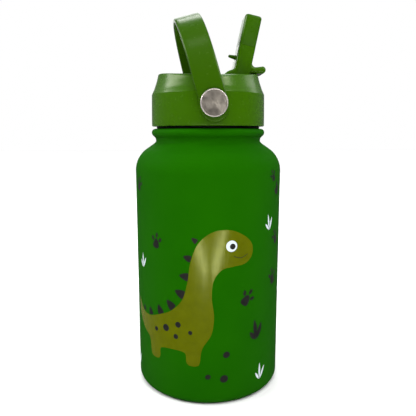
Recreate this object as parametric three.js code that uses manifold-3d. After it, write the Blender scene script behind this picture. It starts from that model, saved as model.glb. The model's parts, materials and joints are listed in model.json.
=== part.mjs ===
// Kids insulated drinking bottle: double-walled steel body, screw lid, flip spout and strap handle.
// Millimetres, +Z up. The bottle's axis is Z, it stands on Z = 0, and the spout is on the +X side.
import * as THREE from "three";
import { mergeVertices } from "three/addons/utils/BufferGeometryUtils.js";
import Module from "manifold-3d";

const wasm = await Module();
wasm.setup();

// ---- Driving dimensions ----
const GAP = 0.3;                    // clearance between pieces that touch

const BODY_RADIUS = 36.5;
const BASE_CORNER = 3.6;            // radius of the rounded lower edge
const SHELL_WALL = 0.5;
const STANDING_INNER = 30;          // inner radius of the flat standing ring
const SHOULDER_START = 108.3;       // height where the straight wall ends
const SHOULDER_RADIUS = 13;         // radius of the shoulder's rounding
const SHOULDER_ANGLE = 54;          // degrees turned before the shoulder becomes a cone
const RIM_TOP = 128.8;              // top of the mouth

const LINER_RADIUS = 33.4;
const LINER_WALL = 0.5;
const LINER_FLOOR = 6.5;
const MOUTH_RADIUS = 24.5;          // clear radius of the mouth

const LID_BOTTOM = 129.95;
const LID_RADIUS = 27.95;
const LID_TOP = 154.85;             // highest line of the crowned top
const LID_TOP_RADIUS = 24.5;
const CROWN_RADIUS = 106;           // the top curves down towards front and back
const LID_WALL = 2.4;
const LID_ROOF = 150.2;             // underside of the top plate

const PLUG_RADIUS = 23.3;
const PLUG_WALL = 2;
const PLUG_BOTTOM = 113;
const PLUG_PLATE_TOP = 132.3;
const THREAD_DEPTH = 0.8;
const THREAD_PITCH = 4.2;
const THREAD_TURNS = 2.25;

const SPOUT_PIVOT = [13.3, 149.2];  // X and Z of the spout's hinge axis
const SPOUT_LEAN = 12;              // degrees from upright when open
const SPOUT_LENGTH = 34.1;          // hinge axis to tip
const SPOUT_LOW_FACE = -2.75;       // the face that is underneath when shut
const SPOUT_HIGH_FACE = 5.3;        // the face that is on top when shut
const SPOUT_WIDTH = 13;
const SPOUT_CORNER = 1.5;
const SEAM_HEIGHT = 19.6;           // hinge axis to the mouthpiece's lower edge
const DRUM_RADIUS = 8.25;
const FLOW_RADIUS = 2.1;
const PIN_RADIUS = 1.5;
const VENT_DISTANCE = 14.1;         // hinge axis to the vent plug

const CHANNEL_FLOOR = 145.6;
const CHANNEL_HALF = SPOUT_WIDTH / 2 + 0.5;
const NIPPLE_X = 12.9;
const STRAW_RADIUS = 4.2;
const STRAW_WALL = 0.8;
const STRAW_BOTTOM = 9;

const HANDLE_PIVOT = 139.63;        // height of the rivets' axis
const HANDLE_TILT = 15;             // degrees that the loop leans back at rest
const HANDLE_LENGTH = 43.6;         // pivot to the loop's outer top
const HANDLE_HALF = 30.4;           // outer half width at the rivets
const HANDLE_THICK = 2.2;
const HANDLE_WIDTH = 12.4;
const HANDLE_EYE = 6.3;             // radius of the rounded lower ends
const HANDLE_POWER = 2.29;          // squareness of the loop
const POST_RADIUS = 2.5;
const RIVET_RADIUS = 6.25;
const RIVET_FACE = 32;              // outermost face of a rivet

// ---- Materials ----
function material(color, roughness, metalness) {
  return new THREE.MeshStandardMaterial({ color, roughness, metalness });
}

const powderCoat = material(0x1a6400, 0.62, 0.1);
const steel = material(0xb4b2ac, 0.3, 1);
const brushedSteel = material(0x9c9489, 0.35, 1);
const greenPlastic = material(0x3c6900, 0.35, 0);
const greenRubber = material(0x3f6d00, 0.45, 0);
const darkPlastic = material(0x17181a, 0.5, 0);
const blackSilicone = material(0x0d0d0e, 0.6, 0);
const clearSilicone = material(0xd8dcd8, 0.5, 0);
const strawPlastic = material(0xc9ced0, 0.4, 0);
const solder = material(0x8f8f8b, 0.5, 1);

// ---- Solids ----
const rad = THREE.MathUtils.degToRad;

// A closed geometry as a solid that can be joined and cut.
function solid(geometry) {
  const bare = geometry.clone();
  bare.deleteAttribute("normal");
  bare.deleteAttribute("uv");
  const merged = mergeVertices(bare, 1e-4);
  const corners = Array.from(merged.index.array);
  const triangles = [];
  for (let i = 0; i < corners.length; i += 3) {
    const [a, b, c] = corners.slice(i, i + 3);
    if (a !== b && b !== c && c !== a) triangles.push(a, b, c);
  }
  return new wasm.Manifold(new wasm.Mesh({
    numProp: 3,
    vertProperties: new Float32Array(merged.attributes.position.array),
    triVerts: new Uint32Array(triangles),
  }));
}

// A solid of revolution about Z from [radius, height] points, outer side first, going up.
function turned(points, sides = 48) {
  const profile = points.map(([radius, height]) => new THREE.Vector2(radius, height));
  return solid(new THREE.LatheGeometry(profile, sides).rotateX(Math.PI / 2));
}

// A plain round bar or tube about Z, between two heights.
function bar(radius, low, high, sides = 24) {
  return turned([[0, low], [radius, low], [radius, high], [0, high]], sides);
}

function tube(outer, inner, low, high, sides = 48) {
  return turned([[inner, low], [outer, low], [outer, high], [inner, high], [inner, low]], sides);
}

function block(low, high) {
  const size = low.map((value, axis) => high[axis] - value);
  const middle = low.map((value, axis) => (high[axis] + value) / 2);
  return solid(new THREE.BoxGeometry(...size).translate(...middle));
}

// An outline in X and Z, extruded along Y between two values.
function slab(points, low, high) {
  const outline = new THREE.Shape(points.map(([x, z]) => new THREE.Vector2(x, z)));
  const geometry = new THREE.ExtrudeGeometry(outline, { depth: high - low, bevelEnabled: false });
  return solid(geometry.rotateX(Math.PI / 2).translate(0, high, 0));
}

// A round bar along Y, centred on [x, z].
function crossBar(radius, [x, z], low, high, sides = 24) {
  const geometry = new THREE.CylinderGeometry(radius, radius, high - low, sides);
  return solid(geometry.translate(0, (low + high) / 2, 0).rotateY(Math.PI / sides).translate(x, 0, z));
}

// Points on an arc, both ends included, with angles in degrees from +X.
function arc([x, z], radius, from, to, steps) {
  return Array.from({ length: steps + 1 }, (_, i) => {
    const angle = rad(from + (to - from) * i / steps);
    return [x + radius * Math.cos(angle), z + radius * Math.sin(angle)];
  });
}

function mesh(name, body, finish) {
  const { vertProperties, triVerts } = body.getMesh();
  const geometry = new THREE.BufferGeometry();
  geometry.setAttribute("position", new THREE.BufferAttribute(new Float32Array(vertProperties), 3));
  geometry.setIndex(Array.from(triVerts));
  geometry.computeVertexNormals();
  const result = new THREE.Mesh(geometry, finish);
  result.name = name;
  return result;
}

// ---- Bottle ----
function outerShell() {
  const centre = BODY_RADIUS - BASE_CORNER;
  const shoulder = [BODY_RADIUS - SHOULDER_RADIUS, SHOULDER_START];
  const outside = [
    [STANDING_INNER, 0],
    ...arc([centre, BASE_CORNER], BASE_CORNER, -90, 0, 5),
    ...arc(shoulder, SHOULDER_RADIUS, 0, SHOULDER_ANGLE, 5),
    [27.2, 121.6], [26.3, 122.5], [26.1, 123.2], [26.35, 124.2], [27.5, 125.4],
    [28.1, 126.5], [28.05, 127.5], [27.6, 128.1], [26.8, RIM_TOP],
  ];
  const inside = [
    [25.4, RIM_TOP], [25.4, 121.6],
    ...arc(shoulder, SHOULDER_RADIUS - SHELL_WALL, SHOULDER_ANGLE, 0, 4),
    ...arc([centre, BASE_CORNER], BASE_CORNER - SHELL_WALL, 0, -90, 3),
    [STANDING_INNER, SHELL_WALL], [STANDING_INNER, 0],
  ];
  return turned([...outside, ...inside], 48);
}

function innerLiner() {
  const neck = MOUTH_RADIUS + LINER_WALL;
  const shoulder = [LINER_RADIUS - SHOULDER_RADIUS + 2, SHOULDER_START - 2];
  const outside = [
    [LINER_RADIUS, LINER_FLOOR],
    ...arc(shoulder, SHOULDER_RADIUS - 2, 0, SHOULDER_ANGLE, 3),
    [neck, 118.6], [neck, RIM_TOP],
  ];
  const inside = [
    [MOUTH_RADIUS, RIM_TOP], [MOUTH_RADIUS, 118],
    ...arc(shoulder, SHOULDER_RADIUS - 2 - LINER_WALL, SHOULDER_ANGLE, 0, 3),
    [LINER_RADIUS - LINER_WALL, LINER_FLOOR], [LINER_RADIUS, LINER_FLOOR],
  ];
  return turned([...outside, ...inside], 48);
}

function bottle() {
  const group = new THREE.Group();
  const discTop = 3;
  const sealRadius = 2.5;
  const disc = turned([[sealRadius + GAP, 2.3], [35, 2.3], [35, discTop], [sealRadius + GAP, discTop],
    [sealRadius + GAP, 2.3]]);
  const cover = turned([[0, 1], [26, 1], [27.5, 0.5], [29.6, 0.5], [29.6, 1.2], [27.8, 1.2],
    [26.3, 1.7], [0, 1.7]]);
  const floor = turned([[0, 5], [29, 5], [33.1, 6.2], [32.5, 6.8], [28.8, 5.7], [0, 5.7]]);
  group.add(
    mesh("outer_shell", outerShell(), powderCoat),
    mesh("shell_bottom", disc, steel),
    mesh("base_cap", cover, powderCoat),
    mesh("vacuum_seal", bar(sealRadius, 2.2, 3.1, 16), solder),
    mesh("inner_liner", innerLiner(), steel),
    mesh("liner_bottom", floor, steel),
    mesh("getter", tube(14, 8, 3.5, 4.5, 16), solder),
  );
  return group;
}

// ---- Lid ----
const CLOSED_VENT_X = SPOUT_PIVOT[0] - VENT_DISTANCE;
const NIPPLE_RADIUS = STRAW_RADIUS - STRAW_WALL - 0.4;
const NIPPLE_BOTTOM = 122;
const POCKET_RADIUS = DRUM_RADIUS + 0.45;
const SEAL_TOP = SPOUT_PIVOT[1] - DRUM_RADIUS - GAP;
const SEAL_BOTTOM = SEAL_TOP - 2;
const HOUSING_BOTTOM = SEAL_BOTTOM - 1.8;
const VENT_SEAL_TOP = CHANNEL_FLOOR;
const VENT_SEAL_RADIUS = 2.9;

// The cap's outer form: a nearly straight skirt, a soft waist, a slightly hollow cone, a crowned top.
function capForm() {
  const form = turned([
    [0, LID_BOTTOM], [LID_RADIUS - 0.5, LID_BOTTOM], [LID_RADIUS, LID_BOTTOM + 0.5],
    [27.87, 136], [27.65, 144], [27.35, 146.1], [26.25, 148.8], [24.97, 152.6],
    [LID_TOP_RADIUS, LID_TOP], [LID_TOP_RADIUS, LID_TOP + 1], [0, LID_TOP + 1],
  ], 56);
  const reach = LID_RADIUS + 1;
  const halfAngle = THREE.MathUtils.radToDeg(Math.asin(reach / CROWN_RADIUS));
  const crown = [[-reach, 0], [reach, 0],
    ...arc([0, LID_TOP - CROWN_RADIUS], CROWN_RADIUS, 90 - halfAngle, 90 + halfAngle, 10)];
  const outline = new THREE.Shape(crown.map(([y, z]) => new THREE.Vector2(y, z)));
  const prism = new THREE.ExtrudeGeometry(outline, { depth: 2 * reach, bevelEnabled: false });
  prism.rotateX(Math.PI / 2).rotateZ(Math.PI / 2).translate(-reach, 0, 0);
  return form.intersect(solid(prism));
}

function lidCap() {
  const form = capForm();
  const [pivotX, pivotZ] = SPOUT_PIVOT;
  const inner = LID_RADIUS - LID_WALL;
  const cavity = turned([[0, 120], [inner, 120], [inner, 143.6], [22.4, LID_ROOF], [0, LID_ROOF]], 48);
  const wall = CHANNEL_HALF + 1.6;
  const housing = block([-23.2, -wall, CHANNEL_FLOOR - 2], [23.2, wall, LID_ROOF + 1])
    .add(block([3, -wall, HOUSING_BOTTOM], [23.2, wall, LID_ROOF + 1]))
    .add(block([pivotX - 4, -wall - 2.4, pivotZ - 4], [pivotX + 4, wall + 2.4, LID_ROOF + 1]))
    .add(bar(NIPPLE_RADIUS, NIPPLE_BOTTOM, HOUSING_BOTTOM + 0.5).translate([NIPPLE_X, 0, 0]));
  const pocketTop = LID_TOP + 3;
  const channel = block([pivotX - SPOUT_LENGTH - 0.6, -CHANNEL_HALF, CHANNEL_FLOOR],
    [pivotX, CHANNEL_HALF, pocketTop])
    .add(crossBar(POCKET_RADIUS, SPOUT_PIVOT, -CHANNEL_HALF, CHANNEL_HALF, 40))
    .add(block([pivotX - 1, -CHANNEL_HALF, pivotZ], [pivotX + POCKET_RADIUS, CHANNEL_HALF, pocketTop]));
  const pinHoles = crossBar(PIN_RADIUS + GAP, SPOUT_PIVOT, -wall - 1, wall + 1, 16);
  const flow = bar(STRAW_RADIUS + 0.9 + GAP, SEAL_BOTTOM, SEAL_TOP + 2)
    .add(bar(FLOW_RADIUS + 0.1, NIPPLE_BOTTOM - 1, SEAL_TOP))
    .translate([NIPPLE_X, 0, 0]);
  const vent = bar(VENT_SEAL_RADIUS + GAP, VENT_SEAL_TOP - 1.2 - GAP, VENT_SEAL_TOP + 1, 20)
    .add(bar(1.9, CHANNEL_FLOOR - 4, CHANNEL_FLOOR, 20))
    .translate([CLOSED_VENT_X, 0, 0]);
  const rivetHoles = crossBar(POST_RADIUS + GAP, [0, HANDLE_PIVOT], -LID_RADIUS - 1, -LID_RADIUS / 2, 20)
    .add(crossBar(POST_RADIUS + GAP, [0, HANDLE_PIVOT], LID_RADIUS / 2, LID_RADIUS + 1, 20));
  return form.subtract(cavity).add(housing.intersect(form.add(cavity)))
    .subtract(channel).subtract(pinHoles).subtract(flow).subtract(vent).subtract(rivetHoles);
}

// One helical ridge, swept along its path with a flat-topped section.
function threadRidge() {
  const steps = Math.round(THREAD_TURNS * 24);
  const rise = THREAD_PITCH * THREAD_TURNS;
  const low = 116.4;
  const path = Array.from({ length: steps + 1 }, (_, i) => {
    const angle = 2 * Math.PI * THREAD_TURNS * i / steps;
    const height = low + rise * i / steps;
    return [PLUG_RADIUS * Math.cos(angle), PLUG_RADIUS * Math.sin(angle), height];
  });
  const section = [[-0.5, -1.1], [THREAD_DEPTH, -0.45], [THREAD_DEPTH, 0.45], [-0.5, 1.1]];
  const positions = [];
  const index = [];
  path.forEach(([x, y, z]) => section.forEach(([out, up]) => {
    const scale = (PLUG_RADIUS + out) / PLUG_RADIUS;
    positions.push(x * scale, y * scale, z + up);
  }));
  const count = section.length;
  for (let i = 0; i < steps; i += 1) {
    for (let j = 0; j < count; j += 1) {
      const a = i * count + j;
      const b = i * count + (j + 1) % count;
      index.push(a, a + count, b, b, a + count, b + count);
    }
  }
  const last = steps * count;
  index.push(0, 1, 2, 0, 2, 3, last, last + 2, last + 1, last, last + 3, last + 2);
  const geometry = new THREE.BufferGeometry();
  geometry.setAttribute("position", new THREE.BufferAttribute(new Float32Array(positions), 3));
  geometry.setIndex(index);
  return solid(geometry);
}

function lidInsert() {
  const flange = LID_RADIUS - LID_WALL - GAP;
  const inner = PLUG_RADIUS - PLUG_WALL;
  const plate = 2;
  const plug = turned([
    [inner, PLUG_BOTTOM], [PLUG_RADIUS - 0.6, PLUG_BOTTOM], [PLUG_RADIUS, PLUG_BOTTOM + 1],
    [PLUG_RADIUS, LID_BOTTOM + GAP], [flange, LID_BOTTOM + GAP], [flange, PLUG_PLATE_TOP],
    [0, PLUG_PLATE_TOP], [0, PLUG_PLATE_TOP - plate], [inner, PLUG_PLATE_TOP - plate],
    [inner, PLUG_BOTTOM],
  ], 48);
  const holes = bar(STRAW_RADIUS + 0.4, 125, 135).translate([NIPPLE_X, 0, 0])
    .add(bar(1.6, 125, 135, 16).translate([CLOSED_VENT_X, 0, 0]));
  return plug.add(threadRidge()).subtract(holes);
}

function rivet(side) {
  const name = side < 0 ? "front" : "back";
  const sorted = (a, b) => [Math.min(side * a, side * b), Math.max(side * a, side * b)];
  const axis = [0, HANDLE_PIVOT];
  const bevel = 0.4;
  const under = HANDLE_HALF + GAP;
  const head = turned([[0, under], [RIVET_RADIUS, under], [RIVET_RADIUS, RIVET_FACE - bevel],
    [RIVET_RADIUS - bevel, RIVET_FACE], [0, RIVET_FACE]], 32);
  const cap = mesh(`rivet_cap_${name}`, head, brushedSteel);
  cap.rotation.x = side < 0 ? Math.PI / 2 : -Math.PI / 2;
  cap.position.z = HANDLE_PIVOT;
  const post = crossBar(POST_RADIUS, axis, ...sorted(HANDLE_HALF, LID_RADIUS - LID_WALL - 1.6), 20);
  return [cap, mesh(`rivet_post_${name}`, post, steel)];
}

function lid() {
  const group = new THREE.Group();
  const at = (body, x) => body.translate([x, 0, 0]);
  const spoutSeal = tube(STRAW_RADIUS + 0.9, FLOW_RADIUS + 0.2, SEAL_BOTTOM + GAP, SEAL_TOP, 24);
  const ventSeal = tube(VENT_SEAL_RADIUS, 1.35, VENT_SEAL_TOP - 1.2, VENT_SEAL_TOP, 20);
  const straw = tube(STRAW_RADIUS, STRAW_RADIUS - STRAW_WALL, STRAW_BOTTOM, HOUSING_BOTTOM - GAP, 20);
  group.add(
    mesh("lid_cap", lidCap(), greenPlastic),
    mesh("lid_insert", lidInsert(), darkPlastic),
    mesh("spout_seal", at(spoutSeal, NIPPLE_X), clearSilicone),
    mesh("vent_seal", at(ventSeal, CLOSED_VENT_X), clearSilicone),
    mesh("straw", at(straw, NIPPLE_X), strawPlastic),
    ...rivet(-1),
    ...rivet(1),
  );
  return group;
}

function gasket() {
  const low = RIM_TOP + GAP;
  const high = LID_BOTTOM - GAP;
  return mesh("neck_gasket", tube(25.4, PLUG_RADIUS + GAP, low, high, 48), blackSilicone);
}

// ---- Handle ----
// The loop in its own frame: X is its width, Y runs from rivet to rivet, Z goes up from the rivets' axis.
function handleStrap() {
  const loop = (half, length) => {
    const steps = 14;
    const quarter = Array.from({ length: steps + 1 }, (_, i) => {
      const angle = Math.PI / 2 * i / steps;
      const power = 2 / HANDLE_POWER;
      return [half * Math.cos(angle) ** power, length * Math.sin(angle) ** power];
    });
    const mirrored = quarter.slice(0, -1).reverse().map(([y, z]) => [-y, z]);
    return [...quarter, ...mirrored];
  };
  const low = -HANDLE_EYE - 1.6;
  const outer = loop(HANDLE_HALF, HANDLE_LENGTH);
  const inner = loop(HANDLE_HALF - HANDLE_THICK, HANDLE_LENGTH - HANDLE_THICK).reverse();
  const points = [[HANDLE_HALF, low], ...outer, [-HANDLE_HALF, low],
    [HANDLE_THICK - HANDLE_HALF, low], ...inner, [HANDLE_HALF - HANDLE_THICK, low]];
  const outline = new THREE.Shape(points.map(([y, z]) => new THREE.Vector2(y, z)));
  const band = new THREE.ExtrudeGeometry(outline, { depth: HANDLE_WIDTH + 2, bevelEnabled: false });
  band.rotateX(Math.PI / 2).rotateZ(Math.PI / 2).translate(-HANDLE_WIDTH / 2 - 1, 0, 0);
  const half = HANDLE_WIDTH / 2;
  const side = [[half - 0.15, HANDLE_LENGTH + 1], [0.15 - half, HANDLE_LENGTH + 1],
    ...arc([0, -1.4], HANDLE_EYE, 180, 360, 12)];
  const hole = crossBar(POST_RADIUS + GAP + 0.1, [0, 0], -HANDLE_HALF - 1, HANDLE_HALF + 1, 20);
  return solid(band).intersect(slab(side, -HANDLE_HALF - 1, HANDLE_HALF + 1)).subtract(hole);
}

function handle() {
  const group = new THREE.Group();
  group.position.z = HANDLE_PIVOT;
  group.rotation.y = -rad(HANDLE_TILT);
  group.add(mesh("handle_strap", handleStrap(), greenRubber));
  return group;
}

// ---- Spout ----
// In its own frame the hinge axis is Y through the origin and the stem goes up along Z.
function stem(low, high, inset) {
  const face = SPOUT_LOW_FACE + inset;
  const depth = SPOUT_HIGH_FACE - SPOUT_LOW_FACE - 2 * inset;
  const half = SPOUT_WIDTH / 2 - inset;
  const r = SPOUT_CORNER;
  const outline = [
    ...arc([face + depth - r, half - r], r, 0, 90, 4), ...arc([face + r, half - r], r, 90, 180, 4),
    ...arc([face + r, r - half], r, 180, 270, 4), ...arc([face + depth - r, r - half], r, 270, 360, 4),
  ];
  const shape = new THREE.Shape(outline.map(([x, y]) => new THREE.Vector2(x, y)));
  const geometry = new THREE.ExtrudeGeometry(shape, { depth: high - low, bevelEnabled: false });
  return solid(geometry.translate(0, 0, low));
}

const STEM_AXIS = (SPOUT_LOW_FACE + SPOUT_HIGH_FACE) / 2;

function spoutBody() {
  const half = SPOUT_WIDTH / 2;
  const drum = crossBar(DRUM_RADIUS, [0, 0], -half, half, 36);
  const tab = slab([[4, 7.2], [7.7, 7.75], [11, 8.65], [11.9, 9.1], [12.4, 9.9], [12.5, 10.8],
    [12.3, 11.7], [11.7, 12.3], [10.9, 12.2], [6, 10.5], [4, 10.4]], 0.5 - half, half - 0.5);
  const flow = bar(FLOW_RADIUS, -DRUM_RADIUS - 2, SPOUT_LENGTH + 1).translate([STEM_AXIS, 0, 0]);
  const holes = crossBar(PIN_RADIUS + GAP, [0, 0], -half - 1, -half + 2, 16)
    .add(crossBar(PIN_RADIUS + GAP, [0, 0], half - 2, half + 1, 16));
  const plugHole = new THREE.CylinderGeometry(1.3, 1.3, 1.6, 16).rotateZ(Math.PI / 2);
  plugHole.translate(SPOUT_LOW_FACE, 0, VENT_DISTANCE);
  return drum.add(stem(0, SEAM_HEIGHT, 0)).add(tab)
    .subtract(flow).subtract(holes).subtract(solid(plugHole));
}

function mouthpiece() {
  const low = SEAM_HEIGHT + GAP;
  const flow = bar(FLOW_RADIUS, low - 1, SPOUT_LENGTH + 1).translate([STEM_AXIS, 0, 0]);
  return stem(low, SPOUT_LENGTH - 0.6, 0.05).add(stem(SPOUT_LENGTH - 1, SPOUT_LENGTH, 0.6)).subtract(flow);
}

// The nub and its foot, lying along -X.
function ventPlug() {
  const foot = SPOUT_LOW_FACE + 0.5;
  const profile = [[0, 0], [0.95, 0], [0.95, 0.6], [0.7, 3.2], [0.35, 3.55], [0, 3.6]];
  const points = profile.map(([radius, along]) => new THREE.Vector2(radius, along));
  const nub = new THREE.LatheGeometry(points, 16).rotateZ(Math.PI / 2);
  return solid(nub.translate(foot, 0, VENT_DISTANCE));
}

function spout() {
  const group = new THREE.Group();
  group.position.set(SPOUT_PIVOT[0], 0, SPOUT_PIVOT[1]);
  group.rotation.y = rad(SPOUT_LEAN);
  const half = SPOUT_WIDTH / 2;
  const pinEnds = [half - 2 + GAP, CHANNEL_HALF + 2.3];
  group.add(
    mesh("spout_body", spoutBody(), greenPlastic),
    mesh("mouthpiece", mouthpiece(), greenRubber),
    mesh("spout_pin_front", crossBar(PIN_RADIUS, [0, 0], -pinEnds[1], -pinEnds[0], 16), steel),
    mesh("spout_pin_back", crossBar(PIN_RADIUS, [0, 0], ...pinEnds, 16), steel),
    mesh("vent_plug", ventPlug(), greenRubber),
  );
  return group;
}

const waterBottle = new THREE.Group();
waterBottle.add(bottle(), gasket(), lid(), handle(), spout());

export default waterBottle;
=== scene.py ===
"""The looks of a kids insulated bottle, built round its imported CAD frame.

Lengths are in millimetres until a mesh is made; Z is up and the bottle stands on Z = 0.
"""

import json
import math

import bmesh
import bpy
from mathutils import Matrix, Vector


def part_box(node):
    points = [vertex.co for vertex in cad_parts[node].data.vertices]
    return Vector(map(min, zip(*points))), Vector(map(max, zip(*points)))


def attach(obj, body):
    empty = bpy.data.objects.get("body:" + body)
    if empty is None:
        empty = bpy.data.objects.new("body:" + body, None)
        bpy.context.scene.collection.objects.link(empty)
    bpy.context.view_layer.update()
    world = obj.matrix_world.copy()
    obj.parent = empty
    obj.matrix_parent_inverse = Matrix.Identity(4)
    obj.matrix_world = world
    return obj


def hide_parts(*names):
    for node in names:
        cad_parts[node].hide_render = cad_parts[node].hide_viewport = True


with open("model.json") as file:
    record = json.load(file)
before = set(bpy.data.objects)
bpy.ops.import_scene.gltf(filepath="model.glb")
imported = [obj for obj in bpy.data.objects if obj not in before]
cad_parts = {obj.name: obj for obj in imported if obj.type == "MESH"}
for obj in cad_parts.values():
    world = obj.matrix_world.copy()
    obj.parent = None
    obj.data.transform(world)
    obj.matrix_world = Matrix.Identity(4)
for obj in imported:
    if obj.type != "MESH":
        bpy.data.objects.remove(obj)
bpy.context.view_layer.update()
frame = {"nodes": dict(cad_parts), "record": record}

MM = 0.001
SIDES = 192  # facets round the large turned pieces
DISC_SIDES = 128
SMALL_SIDES = 64
TOUCHING = 0.0002  # vertices closer than this are joined in every piece

# ---- Sizes read from the frame ----


def node_box(node):
    """A CAD node's lowest and highest corner, in millimetres."""
    low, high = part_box(node)
    return Vector(low) / MM, Vector(high) / MM


def joint_place(name):
    """Where a hinge is, in millimetres."""
    joint = next(j for j in frame["record"]["behaviour"]["joints"] if j["name"] == name)
    return Vector(joint["pos_m"]) / MM


SHELL_HIGH = node_box("outer_shell")[1]
RIM_TOP = SHELL_HIGH.z
BODY_RADIUS = SHELL_HIGH.x - 0.06  # the print stands a little proud, inside the CAD box
LID_TOP = node_box("lid_cap")[1].z
LID_BOTTOM = RIM_TOP + 1.15  # the gasket lies between them
HANDLE_PIVOT = joint_place("handle_swing")
SPOUT_PIVOT = joint_place("spout_flip")
HANDLE_HALF = node_box("handle_strap")[1].y
RIVET_LOW, RIVET_HIGH = node_box("rivet_cap_back")
STRAW_LOW, STRAW_HIGH = node_box("straw")
STRAW_X = (STRAW_LOW.x + STRAW_HIGH.x) / 2
VENT_X = sum(corner.x for corner in node_box("vent_seal")) / 2
PLUG_LOW, PLUG_HIGH = node_box("lid_insert")

HANDLE_TILT = 15  # degrees that the loop leans back at rest
SPOUT_LEAN = 12  # degrees that the open spout leans forward
CROWN_RADIUS = 106  # the lid's top curves down towards front and back

# ---- Outlines ----


def arc(centre, radius, start, end, steps):
    """Points on an arc, both ends included, with angles in degrees."""
    angles = [math.radians(start + (end - start) * i / steps) for i in range(steps + 1)]
    return [(centre[0] + radius * math.cos(a), centre[1] + radius * math.sin(a)) for a in angles]


def flowing(points, steps=8, closed=False):
    """A smooth Catmull-Rom curve through 2-D points."""
    count = len(points)
    spans = count if closed else count - 1

    def control(i):
        return points[i % count] if closed else points[min(max(i, 0), count - 1)]

    curve = []
    for i in range(spans):
        a, b, c, d = (Vector(control(i + k)) for k in (-1, 0, 1, 2))
        for step in range(steps):
            t = step / steps
            point = b + 0.5 * t * (c - a + t * (2 * a - 5 * b + 4 * c - d + t * (3 * (b - c) + d - a)))
            curve.append(tuple(point))
    return curve if closed else curve + [tuple(points[-1])]


def rounded_edge(size, steps):
    """Steps round a rounded edge, as (what is left to its end, how far it has drawn in)."""
    angles = [math.pi / 2 * k / steps for k in range(steps + 1)]
    return [(size * (1 - math.sin(a)), size * (1 - math.cos(a))) for a in angles]


def rounded(corners):
    """A closed outline whose corners, given as (x, y, radius), are rounded."""
    steps = 6
    outline = []
    count = len(corners)
    for i, (x, y, radius) in enumerate(corners):
        corner = Vector((x, y))
        if radius == 0:
            outline.append((x, y))
            continue
        before = (Vector(corners[i - 1][:2]) - corner).normalized()
        after = (Vector(corners[(i + 1) % count][:2]) - corner).normalized()
        half = before.angle(after) / 2
        start = corner + before * radius / math.tan(half)
        end = corner + after * radius / math.tan(half)
        centre = corner + (before + after).normalized() * radius / math.sin(half)
        for k in range(steps + 1):
            direction = (start - centre).lerp(end - centre, k / steps).normalized()
            outline.append(tuple(centre + direction * radius))
    return outline


def rectangle(low, high, radius):
    """A rounded rectangle, anticlockwise."""
    (x0, y0), (x1, y1) = low, high
    return rounded([(x0, y0, radius), (x1, y0, radius), (x1, y1, radius), (x0, y1, radius)])


def inset(outline, distance):
    """An anticlockwise outline moved inwards by a distance."""
    moved = []
    count = len(outline)
    for i in range(count):
        before, here, after = (Vector(outline[(i + k) % count]) for k in (-1, 0, 1))
        a = (here - before).normalized()
        b = (after - here).normalized()
        normals = Vector((-a.y, a.x)), Vector((-b.y, b.x))
        join = (normals[0] + normals[1]) / (1 + normals[0].dot(normals[1]))
        moved.append(tuple(here + join * distance))
    return moved


# ---- Meshes ----


def make(name, points, faces):
    mesh = bpy.data.meshes.new(name)
    mesh.from_pydata([Vector(p) * MM for p in points], [], faces)
    piece = bpy.data.objects.new(name, mesh)
    bpy.context.scene.collection.objects.link(piece)
    return piece


def skin(name, rows, around=True, ends=(False, False)):
    """Quads between rows of points. Rows close on themselves; ends asks for flat ends."""
    points = []
    numbers = []
    for row in rows:
        if len(row) == 1:
            numbers.append([len(points)] * len(rows[0] if len(rows[0]) > 1 else rows[1]))
        else:
            numbers.append(list(range(len(points), len(points) + len(row))))
        points.extend(row)
    if not around:
        numbers.append(numbers[0])
    faces = []
    for low, high in zip(numbers, numbers[1:]):
        for i in range(len(low)):
            j = (i + 1) % len(low)
            corners = list(dict.fromkeys((low[i], low[j], high[j], high[i])))
            if len(corners) > 2:
                faces.append(corners)
    if ends[0]:
        faces.append(numbers[0][::-1])
    if ends[1]:
        faces.append(numbers[-1])
    return make(name, points, faces)


def turn(name, profile, sides=SIDES, radius_at=None):
    """A solid of revolution about Z. Its (radius, height) profile goes up on the outer side."""
    ring = profile[0] == profile[-1]
    rows = []
    for radius, height in profile[:-1] if ring else profile:
        if radius == 0:
            rows.append([(0, 0, height)])
            continue
        row = []
        for i in range(sides):
            angle = 2 * math.pi * i / sides
            r = radius_at(radius, height, angle) if radius_at else radius
            row.append((r * math.cos(angle), r * math.sin(angle), height))
        rows.append(row)
    return skin(name, rows, around=not ring)


def solid_cut(piece, tool):
    """Cuts a tool out of a piece, and leaves the result as plain mesh."""
    modifier = piece.modifiers.new("cut", "BOOLEAN")
    modifier.object = tool
    modifier.operation = "DIFFERENCE"
    modifier.solver = "MANIFOLD"
    graph = bpy.context.evaluated_depsgraph_get()
    result = bpy.data.meshes.new_from_object(piece.evaluated_get(graph))
    piece.modifiers.clear()
    piece.data = result
    bpy.data.objects.remove(tool)


def place(piece, move):
    """Moves every vertex by a function of its place in millimetres."""
    for vertex in piece.data.vertices:
        vertex.co = Vector(move(vertex.co / MM)) * MM


def move_along_x(piece, distance):
    place(piece, lambda p: (p.x + distance, p.y, p.z))


def weld(piece, distance, outwards=False):
    """Joins vertices within a distance, drops the faces that collapse, and can turn all faces outwards."""
    bm = bmesh.new()
    bm.from_mesh(piece.data)
    bmesh.ops.remove_doubles(bm, verts=bm.verts, dist=distance * MM)
    if outwards:
        bmesh.ops.recalc_face_normals(bm, faces=bm.faces)
    bm.to_mesh(piece.data)
    bm.free()


def dress(piece, body, slot, material, hides=(), sharp=38):
    """Shading, material and body of a finished piece; the slot is not used."""
    weld(piece, TOUCHING)
    piece.data.shade_smooth()
    piece.data.set_sharp_from_angle(angle=math.radians(sharp))
    piece.data.materials.clear()
    piece.data.materials.append(material)
    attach(piece, body)
    if hides:
        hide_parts(*hides)


def second_material(piece, material, chosen):
    """Another material for the faces whose normal and centre pass a test."""
    piece.data.materials.append(material)
    for polygon in piece.data.polygons:
        if chosen(polygon.normal, polygon.center / MM):
            polygon.material_index = 1


# ---- Materials ----


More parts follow.
